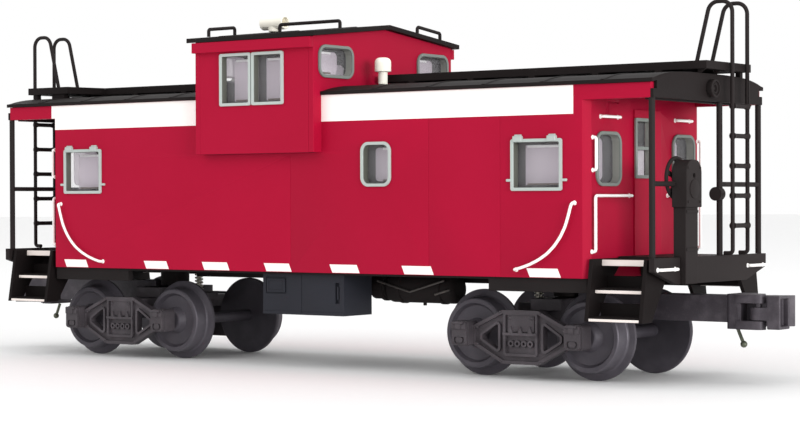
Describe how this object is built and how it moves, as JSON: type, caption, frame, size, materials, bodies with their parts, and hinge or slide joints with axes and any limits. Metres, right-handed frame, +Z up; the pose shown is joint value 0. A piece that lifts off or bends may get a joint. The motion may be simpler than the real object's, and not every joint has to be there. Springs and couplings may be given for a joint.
{
  "type": "quarter-inch scale model caboose",
  "caption": "Model railway caboose with a wide cupola, end platforms with ladders and steps, swivelling trucks and opening knuckle couplers.",
  "frame": {"origin": "on the floor under the middle of the car, at the height of the wheel flanges' lowest points", "axes": "+X along the car towards the front end, +Y to its left-hand side seen from the rear, +Z up"},
  "size_m": [0.2732, 0.0698, 0.1009],
  "materials": {
    "red_paint": "crimson paint on moulded plastic, satin",
    "roof_black": "brown-black paint, satin",
    "underframe_black": "brown-black moulded plastic",
    "railing_black": "brown-black moulded plastic, satin",
    "steps_black": "brown-black moulding with pale painted tread edges",
    "grey_trim": "light grey moulded plastic",
    "white_trim": "white painted wire",
    "clear_plastic": "clear moulded plastic",
    "ivory_plastic": "ivory moulded plastic",
    "box_blue_black": "blue-black moulded plastic",
    "truck_metal": "dark grey die-cast metal",
    "coupler_metal": "dark grey die-cast metal",
    "wheel_metal": "dark grey die-cast metal with worn treads",
    "pin_metal": "plated steel",
    "spring_plate": "nickel-plated steel",
    "rod_metal": "light grey painted wire"
  },
  "bodies": {
    "car_body": {"floor_pan": "underframe_black", "side_wall_left": "red_paint", "side_wall_right": "red_paint", "end_wall_front": "red_paint", "end_wall_rear": "red_paint", "roof_front": "roof_black", "roof_rear": "roof_black", "cupola_side_left": "red_paint", "cupola_side_right": "red_paint", "cupola_end_front": "red_paint", "cupola_end_rear": "red_paint", "cupola_roof": "roof_black", "roof_walk_front": "roof_black", "roof_walk_rear": "roof_black", "smoke_jack": "ivory_plastic", "roof_vent": "ivory_plastic", "side_window_frames": "grey_trim", "end_window_frames": "grey_trim", "cupola_window_frames": "grey_trim", "window_panes": "clear_plastic", "side_handrails": "white_trim", "end_handrails": "white_trim", "roof_grabs": "railing_black", "platform_front": "underframe_black", "platform_rear": "underframe_black", "steps_front_left": "steps_black", "steps_front_right": "steps_black", "steps_rear_left": "steps_black", "steps_rear_right": "steps_black", "railings_front": "railing_black", "railings_rear": "railing_black", "ladder_front": "railing_black", "ladder_rear": "railing_black", "brake_stand_front": "railing_black", "brake_stand_rear": "railing_black", "brake_wheel_front": "railing_black", "brake_wheel_rear": "railing_black", "end_lamps": "railing_black", "equipment_box": "box_blue_black", "air_reservoir": "underframe_black", "brake_cylinder": "underframe_black", "kingpins": "underframe_black", "brake_rods": "rod_metal"},
    "truck_front": {"bolster_front": "truck_metal", "side_frames_front": "truck_metal", "coupler_front": "coupler_metal", "uncoupling_pin_front": "pin_metal", "spring_post_front": "spring_plate"},
    "knuckle_front": {"knuckle_front": "coupler_metal"},
    "truck_rear": {"bolster_rear": "truck_metal", "side_frames_rear": "truck_metal", "coupler_rear": "coupler_metal", "uncoupling_pin_rear": "pin_metal", "spring_post_rear": "spring_plate"},
    "knuckle_rear": {"knuckle_rear": "coupler_metal"},
    "wheelset_front_outer": {"wheelset_front_outer": "wheel_metal"},
    "wheelset_front_inner": {"wheelset_front_inner": "wheel_metal"},
    "wheelset_rear_inner": {"wheelset_rear_inner": "wheel_metal"},
    "wheelset_rear_outer": {"wheelset_rear_outer": "wheel_metal"}
  },
  "joints": [
    {"name": "truck_front_swivel", "type": "hinge", "parent": "car_body", "child": "truck_front", "pos_m": [0.0718, 0, 0.0211], "axis": [0, 0, 1], "range_deg": [-12, 12]},
    {"name": "truck_rear_swivel", "type": "hinge", "parent": "car_body", "child": "truck_rear", "pos_m": [-0.0718, 0, 0.0211], "axis": [0, 0, -1], "range_deg": [-12, 12]},
    {"name": "wheelset_front_outer_spin", "type": "hinge", "parent": "truck_front", "child": "wheelset_front_outer", "pos_m": [0.0893, 0, 0.0116], "axis": [0, 1, 0], "continuous": true},
    {"name": "wheelset_front_inner_spin", "type": "hinge", "parent": "truck_front", "child": "wheelset_front_inner", "pos_m": [0.0543, 0, 0.0116], "axis": [0, 1, 0], "continuous": true},
    {"name": "knuckle_front_opening", "type": "hinge", "parent": "truck_front", "child": "knuckle_front", "pos_m": [0.13, -0.0039, 0.01855], "axis": [0, 0, -1], "range_deg": [0, 35]},
    {"name": "wheelset_rear_outer_spin", "type": "hinge", "parent": "truck_rear", "child": "wheelset_rear_outer", "pos_m": [-0.0893, 0, 0.0116], "axis": [0, 1, 0], "continuous": true},
    {"name": "wheelset_rear_inner_spin", "type": "hinge", "parent": "truck_rear", "child": "wheelset_rear_inner", "pos_m": [-0.0543, 0, 0.0116], "axis": [0, 1, 0], "continuous": true},
    {"name": "knuckle_rear_opening", "type": "hinge", "parent": "truck_rear", "child": "knuckle_rear", "pos_m": [-0.13, 0.0039, 0.01855], "axis": [0, 0, -1], "range_deg": [0, 35]}
  ]
}
